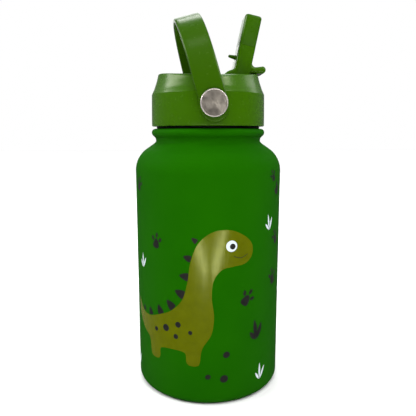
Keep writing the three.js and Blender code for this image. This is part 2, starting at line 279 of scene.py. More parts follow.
def linear(red, green, blue):
    """An sRGB colour of 0 to 255 as linear values."""
    def one(value):
        value /= 255
        return value / 12.92 if value <= 0.04045 else ((value + 0.055) / 1.055) ** 2.4
    return (one(red), one(green), one(blue), 1)


def set_range(node, start, end, low, high):
    """Sets a map range node to run from low at start to high at end."""
    for socket, value in (("From Min", start), ("From Max", end), ("To Min", low), ("To Max", high)):
        node.inputs[socket].default_value = value


class Surface:
    """A node material with mottled colour, uneven roughness and a fine bump."""

    def __init__(self, name, color, roughness, **sockets):
        self.material = bpy.data.materials.new(name)
        self.material.use_nodes = True
        self.tree = self.material.node_tree
        self.shader = self.tree.nodes["Principled BSDF"]
        self.shader.inputs["Roughness"].default_value = roughness
        self.color = color
        self.roughness = roughness
        for socket, value in sockets.items():
            self.shader.inputs[socket.replace("_", " ")].default_value = value
        self.coordinates = self.node("ShaderNodeTexCoord").outputs["Object"]

    def node(self, kind, **settings):
        made = self.tree.nodes.new(kind)
        for key, value in settings.items():
            setattr(made, key, value)
        return made

    def link(self, source, target):
        self.tree.links.new(source, target)

    def noise(self, scale, stretch=(1, 1, 1), detail=2, swirl=0):
        """Noise with its scale in cells per millimetre, swirled when asked."""
        mapping = self.node("ShaderNodeMapping")
        mapping.inputs["Scale"].default_value = [s / MM * scale for s in stretch]
        self.link(self.coordinates, mapping.inputs["Vector"])
        texture = self.node("ShaderNodeTexNoise")
        texture.inputs["Scale"].default_value = 1
        texture.inputs["Detail"].default_value = detail
        texture.inputs["Distortion"].default_value = swirl
        self.link(mapping.outputs["Vector"], texture.inputs["Vector"])
        return texture.outputs["Fac"]

    def spread(self, source, low, high):
        """The middle of a noise, where nearly all of it lies, stretched to run from low to high."""
        node = self.node("ShaderNodeMapRange")
        set_range(node, 0.3, 0.7, low, high)
        self.link(source, node.inputs["Value"])
        return node.outputs["Result"]

    def mottle(self, source, other, amount):
        """Mixes the colour with another one, as far as amount where the noise is high."""
        mix = self.node("ShaderNodeMix", data_type="RGBA")
        mix.inputs["A"].default_value = self.color
        mix.inputs["B"].default_value = other
        self.link(self.spread(source, 0, amount), mix.inputs["Factor"])
        self.link(mix.outputs["Result"], self.shader.inputs["Base Color"])
        return self

    def mottle_only(self, other):
        return self.mottle(self.noise(0.01), other, 1).material

    def uneven(self, source, amount):
        ends = self.roughness - amount, self.roughness + amount
        self.link(self.spread(source, *ends), self.shader.inputs["Roughness"])
        return self

    def bump(self, source, height):
        """Raises the surface by a height in millimetres where the noise is high."""
        node = self.node("ShaderNodeBump")
        node.inputs["Strength"].default_value = 1
        node.inputs["Distance"].default_value = height * MM
        self.link(source, node.inputs["Height"])
        self.link(node.outputs["Normal"], self.shader.inputs["Normal"])
        return self


def powder_coat():
    """Matt paint with the fine orange peel of a powder coat."""
    surface = Surface("powder_coat", linear(18, 79, 0), 0.6, Specular_IOR_Level=0.03)
    surface.mottle(surface.noise(0.05), linear(21, 83, 0), 0.8)
    surface.shader.inputs["Specular Tint"].default_value = (0.3, 1, 0.05, 1)
    surface.uneven(surface.noise(0.3), 0.05)
    return surface.bump(surface.noise(2.2), 0.012).material


def moulded(name, color, other, roughness, gloss=0.28):
    """Glossy moulded plastic or rubber: faint flow marks and a very fine grain."""
    surface = Surface(name, color, roughness, Specular_IOR_Level=gloss)
    surface.shader.inputs["Specular Tint"].default_value = (0.95, 1, 0.68, 1)
    surface.mottle(surface.noise(0.06, (1, 1, 0.4)), other, 0.7)
    surface.uneven(surface.noise(0.4), 0.03)
    return surface.bump(surface.noise(0.6), 0.0005).material


def silicone(name, color, other, roughness=0.55):
    """Matt rubber with a fine grain."""
    surface = Surface(name, color, roughness, Specular_IOR_Level=0.3)
    surface.mottle(surface.noise(0.2), other, 0.8)
    return surface.bump(surface.noise(1.8), 0.01).material


def milky(name):
    """Translucent straw plastic."""
    surface = Surface(name, linear(214, 220, 218), 0.35, Subsurface_Weight=0.4, Transmission_Weight=0.35)
    surface.shader.inputs["Subsurface Radius"].default_value = (2 * MM, 2 * MM, 2 * MM)
    surface.mottle(surface.noise(0.1), linear(196, 206, 206), 0.7)
    return surface.bump(surface.noise(0.6, (1, 1, 0.1)), 0.01).material


def brushed(name, color, other, roughness, stretch, height=0.004):
    """Metal brushed along the direction in which the noise is stretched."""
    surface = Surface(name, color, roughness, Metallic=1)
    grain = surface.noise(6, stretch, 3)
    surface.mottle(grain, other, 1)
    surface.uneven(surface.noise(1.5, stretch), 0.08)
    return surface.bump(grain, height).material


def ink(name, color, other, roughness, gloss, metallic=0):
    """Smooth printed ink, slightly uneven in colour."""
    surface = Surface(name, color, roughness, Metallic=metallic, Specular_IOR_Level=gloss)
    surface.shader.inputs["Specular Tint"].default_value = (1, 1, 0.6, 1)
    surface.mottle(surface.noise(0.25, detail=3), other, 1)
    surface.uneven(surface.noise(0.8), 0.03)
    return surface.bump(surface.noise(2.5), 0.001).material


POWDER = powder_coat()
LID_GREEN = moulded("lid_plastic", linear(45, 84, 0), linear(48, 87, 0), 0.25)
TOP_GREEN = moulded("lid_top_grain", linear(45, 84, 0), linear(48, 87, 0), 0.5, 0.15)
STRAP_GREEN = moulded("strap_rubber", linear(40, 75, 0), linear(43, 78, 0), 0.25)
TIP_GREEN = moulded("soft_tip", linear(43, 82, 0), linear(46, 85, 0), 0.3)
DARK_PLASTIC = moulded("plug_plastic", linear(22, 23, 24), linear(30, 31, 32), 0.45)
BLACK_SILICONE = silicone("black_silicone", linear(10, 10, 11), linear(18, 18, 19))
CLEAR_SILICONE = silicone("clear_silicone", linear(205, 210, 204), linear(190, 197, 190), 0.4)
STRAW_PLASTIC = milky("straw_plastic")
LINER_STEEL = brushed("liner_steel", linear(176, 176, 174), linear(150, 150, 148), 0.3, (0.06, 0.06, 1))
PLAIN_STEEL = brushed("plain_steel", linear(168, 167, 164), linear(146, 145, 142), 0.35, (1, 1, 0.2))
SOLDER = brushed("solder", linear(140, 140, 138), linear(118, 118, 116), 0.5, (1, 1, 1), 0.02)
GOLD_INK = ink("gold_ink", linear(90, 97, 0), linear(83, 90, 0), 0.19, 0.5, 0.12)
DARK_INK = ink("dark_ink", linear(26, 26, 27), linear(31, 31, 32), 0.5, 0.15)
LIGHT_INK = ink("light_ink", linear(205, 214, 220), linear(190, 200, 208), 0.45, 0.3)


def rivet_steel():
    """A spun face, mottled with cloudy darker patches."""
    surface = Surface("rivet_steel", linear(184, 175, 162), 0.36, Metallic=0.75, Anisotropic=0.75)
    tangent = surface.node("ShaderNodeTangent", direction_type="RADIAL", axis="Y")
    surface.link(tangent.outputs["Tangent"], surface.shader.inputs["Tangent"])
    surface.mottle(surface.noise(0.2, detail=2, swirl=0.7), linear(106, 100, 93), 1)
    surface.uneven(surface.noise(0.8), 0.06)
    return surface.bump(surface.noise(5, detail=3), 0.003).material


def rivet_bevel_highlight():
    """The turned edge round the rivet's face: a polished edge, also painted lighter than the face as a
    painted highlight.
    """
    surface = Surface("rivet_bevel_highlight", linear(232, 222, 212), 0.3, Metallic=0.65)
    surface.mottle(surface.noise(0.5), linear(212, 202, 200), 1)
    return surface.bump(surface.noise(3), 0.002).material


RIVET_STEEL = rivet_steel()
RIVET_BEVEL_HIGHLIGHT = rivet_bevel_highlight()

# ---- Bottle ----
WALL = 0.5
BASE_ROUND = 3.6
STANDING_INNER = 30  # the standing ring's inner radius
SHOULDER_START = 108.3
SHOULDER_RADIUS = 13
SHOULDER_ANGLE = 54
NECK_BOTTOM = 121.6
THROAT = 25.4  # the outer wall's inner radius at the neck
LIP = 0.25  # how far the sheet steel's edges are broken
THREAD = {"low": 116.4, "pitch": 4.2, "turns": 2.25}


def outer_wall():
    """Powder-coated steel with a rounded shoulder, a neck groove and a bead at the mouth."""
    shoulder = (BODY_RADIUS - SHOULDER_RADIUS, SHOULDER_START)
    base = (BODY_RADIUS - BASE_ROUND, BASE_ROUND)
    neck = flowing([(27.1, NECK_BOTTOM), (26.35, 122.35), (26.1, 123.1), (26.3, 124.15), (26.85, 124.85),
        (27.6, 125.55), (28.05, 126.4), (28.13, 127.1), (27.95, 127.8), (27.4, 128.45), (26.6, RIM_TOP)], 5)
    outside = [(STANDING_INNER, LIP), (STANDING_INNER + LIP, 0), *arc(base, BASE_ROUND, -90, 0, 14),
        (BODY_RADIUS, 40), (BODY_RADIUS, 75), *arc(shoulder, SHOULDER_RADIUS, 0, SHOULDER_ANGLE, 20), *neck]
    inside = [(THROAT + 0.3, RIM_TOP), (THROAT, RIM_TOP - 0.3), (THROAT, NECK_BOTTOM),
        *arc(shoulder, SHOULDER_RADIUS - WALL, SHOULDER_ANGLE, 0, 10),
        *arc(base, BASE_ROUND - WALL, 0, -90, 6), (STANDING_INNER + LIP, WALL), (STANDING_INNER, WALL - LIP)]
    shell = turn("shell_skin", outside + inside + outside[:1])
    dress(shell, "bottle", "body_paint", POWDER, ["outer_shell"])


def base_cover():
    """The shallow disc set in the standing ring."""
    under = flowing([(0, 1.0), (12, 1.0), (25.6, 1.0), (26.4, 0.9), (27.2, 0.6), (28, 0.5)], 4)
    above = [(29.35, 0.5), (29.6, 0.75), (29.6, 1.2), (27.9, 1.2), (26.3, 1.7), (0, 1.7)]
    cover = turn("base_skin", under + above, DISC_SIDES)
    dress(cover, "bottle", "body_paint", POWDER, ["base_cap"])


def thread_height(height, angle, low, pitch, turns, flat, foot):
    """How far a helical ridge stands out at a height and angle, from 0 to 1."""
    run_out = 0.05
    best = 0
    for lap in range(math.ceil(turns)):
        done = angle / (2 * math.pi) + lap
        if done > turns:
            continue
        away = abs(height - low - pitch * done)
        rise = min(max((foot - away) / (foot - flat), 0), 1)
        fade = min(done / run_out, (turns - done) / run_out, 1)
        best = max(best, rise * rise * (3 - 2 * rise) * fade)
    return best


def liner():
    """The inner wall, with the thread rolled into its mouth."""
    low, high = node_box("inner_liner")
    radius = high.x
    inner = radius - WALL
    bend = 11
    shoulder = (radius - bend, SHOULDER_START - 2)
    mouth = 24.5
    neck = mouth + WALL
    thread_top, thread_end = 127.6, 114.4
    rows = 64
    threaded = [(mouth, thread_top + (thread_end - thread_top) * i / rows) for i in range(rows + 1)]
    profile = [(radius, low.z), *arc(shoulder, bend, 0, SHOULDER_ANGLE, 10), (neck, 118.6),
        (neck, RIM_TOP - LIP), (neck - LIP, RIM_TOP), (mouth + LIP, RIM_TOP), (mouth, RIM_TOP - LIP),
        *threaded, *arc(shoulder, bend - WALL, SHOULDER_ANGLE, 0, 14)[4:],
        (inner, 50), (inner, low.z), (radius, low.z)]

    def groove(r, height, angle):
        if r > mouth + 0.1 or height < thread_end - 0.1:
            return r
        return r + 0.32 * thread_height(height, angle, flat=0.6, foot=1.3, **THREAD)

    wall = turn("liner_skin", profile, radius_at=groove)
    dress(wall, "bottle", "bare_steel", LINER_STEEL, ["inner_liner"])


def liner_floor():
    bowl = flowing([(0, 5.7), (15, 5.7), (28.2, 5.7), (30.5, 6.1), (32.5, 6.85)], 5)[::-1]
    under = [(0, 5.0), (29, 5.0), (33.1, 6.25)]
    floor = turn("liner_floor", under + bowl, DISC_SIDES)
    dress(floor, "bottle", "bare_steel", LINER_STEEL, ["liner_bottom"])


# ---- Lid ----
CHANNEL_FLOOR = 145.6
CHANNEL_HALF = 7
CHANNEL_END = SPOUT_PIVOT.x - 34.7
CHANNEL_CORNER = 1.6
POCKET_RADIUS = 8.7
POCKET_END = SPOUT_PIVOT.x + POCKET_RADIUS
RIM_ROUND = 0.5
LID_FOOT = LID_BOTTOM + 0.55  # where the side begins, above the rounded lower edge
LID_WALL = flowing([(27.95, LID_FOOT), (27.94, 134), (27.88, 139), (27.82, 143), (27.77, 145.1)])
LID_CONE = flowing([(27.77, 145.1), (27.22, 146.3), (26.62, 147.6), (25.95, 149.5), (25.34, 151.3),
    (24.82, 153.3), (24.56, 154.4), (24.47, LID_TOP + 0.6)])
LID_SIDE = LID_WALL[:-1] + LID_CONE
KNEE = (144.5, 145.8)  # the heights between which the wall turns into the cone
SIDE_ROWS = (7, 13, 18)  # rows of faces below, at and above the knee


def lid_side_radius(height):
    for (r0, z0), (r1, z1) in zip(LID_SIDE, LID_SIDE[1:]):
        if z0 <= height <= z1:
            return r0 + (r1 - r0) * (height - z0) / (z1 - z0)
    return LID_SIDE[-1][0]


def crown(y):
    """How far the lid's top has dropped at a distance from its highest line."""
    return y * y / (2 * CROWN_RADIUS)


def lid_profile(sine):
    """The cap's section, from the ceiling over its plug down, out and up to the middle of the top."""
    ceiling, hollow = 132.35, 25.45
    profile = [(0, ceiling), (hollow - 0.25, ceiling), (hollow, ceiling - 0.25),
        (hollow, LID_BOTTOM + 0.3), (hollow + 0.25, LID_BOTTOM), (27.5, LID_BOTTOM),
        (27.74, LID_BOTTOM + 0.09), (27.9, LID_BOTTOM + 0.26)]
    edge = LID_TOP
    for _ in range(6):  # the edge's height settles after a few rounds
        edge = LID_TOP - crown(lid_side_radius(edge) * sine)
    levels = (LID_FOOT, *KNEE, edge - RIM_ROUND)
    heights = [LID_FOOT]
    for low, high, steps in zip(levels, levels[1:], SIDE_ROWS):
        heights += [low + (high - low) * k / steps for k in range(1, steps + 1)]
    profile += [(lid_side_radius(h), h) for h in heights]
    below = Vector((lid_side_radius(edge - RIM_ROUND), edge - RIM_ROUND))
    corner = Vector((lid_side_radius(edge), edge))
    inner = corner.x - RIM_ROUND
    across = Vector((inner, LID_TOP - crown(inner * sine)))
    for t in (k / 7 for k in range(1, 8)):
        profile.append(tuple(below * (1 - t) ** 2 + corner * 2 * t * (1 - t) + across * t * t))
    for radius in (inner * (1 - k / 12) for k in range(1, 12)):
        profile.append((radius, LID_TOP - crown(radius * sine)))
    return profile + [(0, LID_TOP)]


def lid_form():
    """The cap's outer surface, one profile at each angle because the top edge rises and falls."""
    around = 240
    columns = []
    for i in range(around):
        angle = 2 * math.pi * i / around
        sine = math.sin(angle)
        columns.append([(r * math.cos(angle), r * sine, z) for r, z in lid_profile(sine)])
    rows = [[column[k] for column in columns] for k in range(len(columns[0]))]
    rows[0] = rows[0][:1]
    rows[-1] = rows[-1][:1]
    return skin("lid_skin", rows)


def well(low, high, floor, corner, flare):
    """A cutter with a rounded plan that opens out at the lid's top, so that it leaves a rounded edge."""
    levels = [(floor, 0)]
    levels += [(LID_TOP - left, grow) for left, grow in rounded_edge(flare, 6)]
    levels.append((LID_TOP + 8, flare))
    rows = []
    for height, grow in levels:
        plan = rectangle((low[0] - grow, low[1] - grow), (high[0] + grow, high[1] + grow), corner + grow)
        drop = 0 if height == floor else 1
        rows.append([(x, y, height - drop * crown(y)) for x, y in plan])
    return skin("tool", rows, ends=(True, True))


def cross_bar(centre, radius, half, sides):
    """A cutter: a round bar along Y."""
    turns = [2 * math.pi * i / sides for i in range(sides)]
    ring = [(centre.x + radius * math.sin(a), centre.z + radius * math.cos(a)) for a in turns]
    return skin("tool", [[(x, y, z) for x, z in ring] for y in (-half, half)], ends=(True, True))


def upright_bar(x, radius, low, high):
    """A cutter: a round bar along Z."""
    bar = turn("tool", [(0, low), (radius, low), (radius, high), (0, high)], SMALL_SIDES)
    move_along_x(bar, x)
    return bar


def cap():
    """The green cap with the spout's channel and pocket, and the stepped hole of the vent."""
    piece = lid_form()
    start = (CHANNEL_END, -CHANNEL_HALF)
    solid_cut(piece, well(start, (POCKET_END, CHANNEL_HALF), SPOUT_PIVOT.z, CHANNEL_CORNER, flare=0.55))
    groove = rectangle(start, (SPOUT_PIVOT.x, CHANNEL_HALF), CHANNEL_CORNER)
    rows = [[(x, y, z) for x, y in groove] for z in (CHANNEL_FLOOR, SPOUT_PIVOT.z + 1)]
    solid_cut(piece, skin("tool", rows, ends=(True, True)))
    solid_cut(piece, cross_bar(SPOUT_PIVOT, POCKET_RADIUS, CHANNEL_HALF, 96))
    for radius, depth in ((3.1, 1.25), (1.4, 3.4)):
        solid_cut(piece, upright_bar(VENT_X, radius, CHANNEL_FLOOR - depth, CHANNEL_FLOOR + 1))
    dress(piece, "lid", "lid_plastic", LID_GREEN, ["lid_cap"])
    top_edge = LID_TOP - 5
    second_material(piece, TOP_GREEN, lambda normal, centre: normal.z > 0.93 and centre.z > top_edge)


def vent_ring():
    """The silicone ring in the channel's floor, with a rounded lip for the nub."""
    inner, outer = 1.35, 2.95
    low, edge = CHANNEL_FLOOR - 1.2, 0.15
    ring = [(inner, low), (outer, low), (outer, CHANNEL_FLOOR - edge), (outer - edge, CHANNEL_FLOOR),
        *arc((2.1, CHANNEL_FLOOR), 0.45, 0, 180, 8), (inner, CHANNEL_FLOOR - 0.2), (inner, low)]
    seal = turn("vent_ring", ring, SMALL_SIDES)
    move_along_x(seal, VENT_X)
    dress(seal, "lid", "clear_silicone", CLEAR_SILICONE, ["vent_seal"])


def gasket():
    """The black ring between the bottle's rim and the lid."""
    middle = (LID_BOTTOM + RIM_TOP) / 2
    half = (LID_BOTTOM - RIM_TOP - 0.04) / 2
    inner, outer = 23.65, 25.1
    low, high = middle - half, middle + half
    profile = [(inner, low), (outer, low), *arc((outer, middle), half, -60, 60, 8), (outer, high),
        (inner, high), (inner, low)]
    ring = turn("gasket_ring", profile)
    dress(ring, "gasket", "black_silicone", BLACK_SILICONE, ["neck_gasket"])


def plug():
    """The threaded plug, with the straw's hole in its plate."""
    low, top = PLUG_LOW.z, PLUG_HIGH.z
    radius, flange, plate = 23.3, 25.1, 2
    inner = radius - 2
    start, end = low + 1, LID_BOTTOM + 0.1
    rows = 76
    wall = [(radius, start + (end - start) * i / rows) for i in range(rows + 1)]
    under = top - plate
    profile = [(inner, low + 0.4), (inner + 0.4, low), (radius - 0.7, low), (radius - 0.2, low + 0.3), *wall,
        (flange, LID_BOTTOM + 0.3), (flange, top - 0.3), (flange - 0.3, top), (0, top), (0, under),
        (inner - 0.6, under), (inner, under - 0.6), (inner, low + 0.4)]

    def ridge(r, height, angle):
        if abs(r - radius) > 0.01:
            return r
        return r + 0.8 * thread_height(height, angle, flat=0.45, foot=1.1, **THREAD)

    piece = turn("plug_skin", profile, radius_at=ridge)
    solid_cut(piece, upright_bar(STRAW_X, 4.6, top - 5, top + 3))
    dress(piece, "lid", "dark_plastic", DARK_PLASTIC, ["lid_insert"])


def straw():
    low, high = STRAW_LOW.z, STRAW_HIGH.z
    middle = 60
    edge = 0.25
    outer = (STRAW_HIGH.x - STRAW_LOW.x) / 2
    bore = outer - 0.8
    outside = [(bore + edge, low), (outer - edge, low), (outer, low + edge), (outer, middle)]
    top = [(outer, high - edge), (outer - edge, high), (bore + edge, high), (bore, high - edge)]
    inside = [(bore, middle), (bore, low + edge), (bore + edge, low)]
    tube = turn("straw_skin", outside + top + inside, SMALL_SIDES)
    move_along_x(tube, STRAW_X)
    dress(tube, "lid", "straw_plastic", STRAW_PLASTIC, ["straw"])


def rivets():
    """Two steel heads with a bevel, painted lighter as a highlight, round a slightly dished face."""
    under, face = RIVET_LOW.y, RIVET_HIGH.y
    radius = (RIVET_HIGH.x - RIVET_LOW.x) / 2 - 0.18
    edge, dish = 0.34, 0.05
    flat = radius - 0.46
    rings = 6
    profile = [(0, under), (radius - 0.2, under), (radius, under + 0.2), (radius, face - 0.5),
        *arc((radius - edge, face - 0.35), edge, 5, 60, 6), (flat + 0.12, face), (flat, face - 0.07),
        (flat - 0.3, face - 0.08)]
    profile += [(flat * k / rings, face - dish - 0.03 * k / rings) for k in range(rings - 1, 0, -1)]
    profile.append((0, face - dish))
    for side, end in ((-1, "front"), (1, "back")):
        head = turn(f"rivet_head_{end}", profile, 96)
        dress(head, "lid", "rivet_steel", RIVET_STEEL, [f"rivet_cap_{end}"], sharp=60)
        # The bevel faces get a lighter copy of the steel: a polished edge and a painted highlight.
        second_material(head, RIVET_BEVEL_HIGHLIGHT,
            lambda normal, centre: math.hypot(centre.x, centre.y) > flat and centre.z > face - 0.4)
        place(head, lambda p: (p.x, side * p.z, HANDLE_PIVOT.z - side * p.y))


# ---- Handle ----
STRAP_THICK = 2.2
STRAP_EDGE = 0.75
LOOP_LENGTH = 43.6
EYE_RADIUS = 6.3  # of the strap's round ends
EYE_CENTRE = -2.1
END_MARGIN = 0.1
EYE_REACH = END_MARGIN + EYE_RADIUS


class Loop:
    """The strap's outer line as (y, height) points: a squarish arch on two short straight legs."""

    def __init__(self):
        power = 2 / 2.29
        fine = 600
        leg = [Vector((-HANDLE_HALF, height)) for height in (EYE_CENTRE - EYE_REACH, -4, -0.5)]
        arch = []
        for i in range(fine + 1):
            angle = math.pi * i / fine
            side = -math.copysign(abs(math.cos(angle)) ** power, math.cos(angle))
            arch.append(Vector((HANDLE_HALF * side, LOOP_LENGTH * math.sin(angle) ** power)))
        self.points = leg + arch + [Vector((-p.x, p.y)) for p in leg[::-1]]
        self.travel = [0.0]
        for a, b in zip(self.points, self.points[1:]):
            self.travel.append(self.travel[-1] + (b - a).length)
        self.length = self.travel[-1]

    def at(self, distance):
        """The point at a distance along the line."""
        distance = min(max(distance, 1e-6), self.length - 1e-6)
        i = next(k for k in range(1, len(self.travel)) if self.travel[k] >= distance)
        share = (distance - self.travel[i - 1]) / (self.travel[i] - self.travel[i - 1])
        return self.points[i - 1].lerp(self.points[i], share)

    def normal(self, distance):
        ahead = self.at(distance + 0.6) - self.at(distance - 0.6)
        return Vector((-ahead.y, ahead.x)).normalized()

    def place(self, distance, side, depth):
        """Where a point lies: along the loop, to one side of its middle, under its outer face."""
        tilt = math.radians(HANDLE_TILT)
        spot = self.at(distance) - self.normal(distance) * depth
        x = side * math.cos(tilt) - spot.y * math.sin(tilt)
        z = side * math.sin(tilt) + spot.y * math.cos(tilt)
        return (x, spot.x, HANDLE_PIVOT.z + z)

    def border(self, kind, value, shrink):
        """Distance along the loop and half width of the strap's outline, drawn in by an amount."""
        if kind == "strap":
            half = EYE_RADIUS - 0.1 - 0.15 * self.at(value).y / LOOP_LENGTH
            return value, half - shrink
        reach = (EYE_RADIUS - shrink) * math.sin(value)
        half = (EYE_RADIUS - shrink) * math.cos(value)
        return (EYE_REACH - reach if kind == "low" else self.length - EYE_REACH + reach), half

    def stations(self):
        """Where the strap has a section: by angle round its ends, by distance between them."""
        ends = 12
        spans = 110
        straight = self.length - 2 * EYE_REACH
        return [*(("low", math.pi / 2 * (1 - k / ends)) for k in range(ends)),
            *(("strap", EYE_REACH + straight * k / spans) for k in range(spans + 1)),
            *(("high", math.pi / 2 * k / ends) for k in range(1, ends + 1))]


def handle():
    """A strap of even thickness that follows the loop, with rounded edges and round ends."""
    loop = Loop()
    edges = rounded_edge(STRAP_EDGE, 5)
    edges += [(shrink, STRAP_THICK - depth) for shrink, depth in edges[::-1]]
    across = 8
    rows = []
    for kind, value in loop.stations():
        ring = []
        where, half = loop.border(kind, value, STRAP_EDGE)
        for k in range(1, across):
            ring.append(loop.place(where, half * (2 * k / across - 1), 0))
        for shrink, depth in edges:
            beside, reach = loop.border(kind, value, shrink)
            ring.append(loop.place(beside, reach, depth))
        for k in range(1, across):
            ring.append(loop.place(where, half * (1 - 2 * k / across), STRAP_THICK))
        for shrink, depth in edges[::-1]:
            beside, reach = loop.border(kind, value, shrink)
            ring.append(loop.place(beside, -reach, depth))
        rows.append(ring[::-1])
    strap = skin("handle_skin", rows)
    weld(strap, 0.002, outwards=True)
    solid_cut(strap, cross_bar(HANDLE_PIVOT, 2.9, HANDLE_HALF + 2, SMALL_SIDES))
    dress(strap, "handle", "handle_rubber", STRAP_GREEN, ["handle_strap"])


# ---- Spout ----
# These lengths are in the upright spout's own frame, with its hinge at the origin.
SPOUT_LOW_FACE = -2.75
SPOUT_HIGH_FACE = 5.3
SPOUT_HALF = 6.5
SPOUT_EDGE = 1.3
SPOUT_LENGTH = 34.1
SEAM = 19.75
DRUM_RADIUS = 8.25
STEM_AXIS = (SPOUT_LOW_FACE + SPOUT_HIGH_FACE) / 2
BORE = 2.1
NUB_HEIGHT = 14.1


def lean(piece):
    """Moves a spout piece from its own upright frame to where the open spout is."""
    angle = math.radians(SPOUT_LEAN)
    c, s = math.cos(angle), math.sin(angle)
    place(piece, lambda p: (SPOUT_PIVOT.x + p.x * c + p.z * s, p.y, SPOUT_PIVOT.z - p.x * s + p.z * c))


def flow_tool(low, high):
    """A cutter: the drinking bore, opening out towards its upper end."""
    flare = 0.6
    profile = [(0, low), (BORE, low)]
    profile += [(BORE + out, high - left) for left, out in rounded_edge(flare, 5)]
    profile += [(BORE + flare, high + 2), (0, high + 2)]
    tool = turn("tool", profile, SMALL_SIDES)
    move_along_x(tool, STEM_AXIS)
    return tool


def spout_body():
    """Drum, stem and thumb tab as one outline, extruded across with rounded edges."""
    low, high = SPOUT_LOW_FACE, SPOUT_HIGH_FACE
    drum = arc((0, 0), DRUM_RADIUS, 113, 410, 60)
    outline = rounded([
        (low, SEAM, 0), (low, 8.1, 0.9), *[(x, z, 0) for x, z in drum],
        (5.7, 7.45, 0), (7.7, 7.8, 0), (12.65, 9.05, 1.6), (12.4, 12.65, 1.6), (7.6, 11.0, 0),
        (high, 10.25, 1.7), (high, SEAM, 0),
    ])
    levels = [(SPOUT_HALF - left, shrink) for left, shrink in rounded_edge(SPOUT_EDGE, 6)]
    front = [(-y, shrink) for y, shrink in levels[::-1]]
    rows = []
    for y, shrink in front + levels:
        ring = []
        for (_, z), (moved_x, moved_z) in zip(outline, inset(outline, shrink)):
            ring.append((moved_x, y, SEAM if z == SEAM else moved_z))
        rows.append(ring[::-1])
    body = skin("spout_skin", rows, ends=(True, True))
    solid_cut(body, flow_tool(-DRUM_RADIUS - 2, SEAM + 3))
    lean(body)
    dress(body, "spout", "lid_plastic", LID_GREEN, ["spout_body"], sharp=45)


def mouthpiece():
    base = SEAM + 0.05
    levels = [(base, 0.1), (base + 0.03, 0.03), (base + 0.1, 0)]
    levels += [(SPOUT_LENGTH - left, shrink) for left, shrink in rounded_edge(1.1, 8)]
    rows = []
    for height, shrink in levels:
        low = (SPOUT_LOW_FACE + shrink, shrink - SPOUT_HALF)
        high = (SPOUT_HIGH_FACE - shrink, SPOUT_HALF - shrink)
        plan = rectangle(low, high, SPOUT_EDGE + 0.3 - 0.6 * shrink)
        rows.append([(x, y, height) for x, y in plan])
    mouth = skin("mouthpiece_skin", rows, ends=(True, True))
    solid_cut(mouth, flow_tool(base - 2, SPOUT_LENGTH))
    lean(mouth)
    dress(mouth, "spout", "soft_tip", TIP_GREEN, ["mouthpiece"], sharp=45)


def vent_nub():
    """The small peg on the stem's low face that shuts the vent."""
    profile = [(0, 0), (1.15, 0), (1.15, 0.35), (1.02, 0.65), (0.74, 3.0), *arc((0, 3.05), 0.72, 20, 80, 5),
        (0, 3.75)]
    root = SPOUT_LOW_FACE + 0.15
    nub = turn("vent_nub", profile, 48)
    place(nub, lambda p: (root - p.z, p.y, NUB_HEIGHT + p.x))
    lean(nub)
    dress(nub, "spout", "soft_tip", TIP_GREEN, ["vent_plug"])


# ---- Print ----
# Places are (arc length, height): arc length runs round the wall from the front towards the spout's side.
INK_FOOT = -0.02
STRIP_WIDTH = 1.5
DARK = ("print_dark", DARK_INK)
GOLD = ("print_gold", GOLD_INK)
LIGHT = ("print_light", LIGHT_INK)


def sliced(outline):
    """A flat outline cut into upright strips, so that it can follow the wall."""
    bm = bmesh.new()
    bm.faces.new([bm.verts.new((s, 0, z)) for s, z in outline])
    first = math.ceil(min(s for s, _ in outline) / STRIP_WIDTH)
    last = math.floor(max(s for s, _ in outline) / STRIP_WIDTH)
    for k in range(first, last + 1):
        everything = bm.verts[:] + bm.edges[:] + bm.faces[:]
        bmesh.ops.bisect_plane(bm, geom=everything, plane_co=(k * STRIP_WIDTH, 0, 0), plane_no=(1, 0, 0))
    bm.normal_update()
    bm.verts.index_update()
    return bm


def wrapped(name, outlines, top, ink_pair):
    """Outlines laid on the wall as thin closed films of ink, which stand out as far as top."""
    points = []
    faces = []
    for outline in outlines:
        bm = sliced(outline)
        count = len(bm.verts)
        start = len(points)
        for lift in (top, INK_FOOT):
            radius = BODY_RADIUS + lift
            for vertex in bm.verts:
                angle = vertex.co.x / BODY_RADIUS
                points.append((radius * math.sin(angle), -radius * math.cos(angle), vertex.co.z))
        borders = {frozenset(v.index for v in e.verts) for e in bm.edges if len(e.link_faces) == 1}
        for face in bm.faces:
            ring = [v.index for v in face.verts]
            if face.normal.y > 0:
                ring.reverse()
            faces.append([start + i for i in ring])
            faces.append([start + count + i for i in reversed(ring)])
            for a, b in zip(ring, ring[1:] + ring[:1]):
                if frozenset((a, b)) in borders:
                    faces.append([start + b, start + a, start + count + a, start + count + b])
        bm.free()
    dress(make(name, points, faces), "bottle", *ink_pair, sharp=30)


def turned(outline, at, angle, size=1):
    """A small outline scaled, turned by degrees and moved to its place on the wall."""
    c, s = math.cos(math.radians(angle)) * size, math.sin(math.radians(angle)) * size
    return [(at[0] + x * c - z * s, at[1] + x * s + z * c) for x, z in outline]


def spot(at, radius, squash=1, angle=0):
    sides = 36
    turns = [2 * math.pi * i / sides for i in range(sides)]
    return turned([(radius * math.cos(a), radius * squash * math.sin(a)) for a in turns], at, angle)


def leaf(length, width):
    """A pointed leaf standing on the origin."""
    steps = 12
    power = 0.9
    right = []
    for share in (i / steps for i in range(1, steps)):
        right.append((width / 2 * math.sin(math.pi * share) ** power, length * share ** power))
    return [(0, 0), *right, (0, length), *[(-x, z) for x, z in right[::-1]]]


def tuft(at, size, angle=0, width=1.9):
    """Three leaves fanning out from one foot."""
    return [turned(leaf(length, width), (at[0] + shift * size, at[1]), angle + tilt, size)
        for length, shift, tilt in ((4.6, -0.3, 36), (8.0, 0, 4), (6.6, 0.3, -24))]


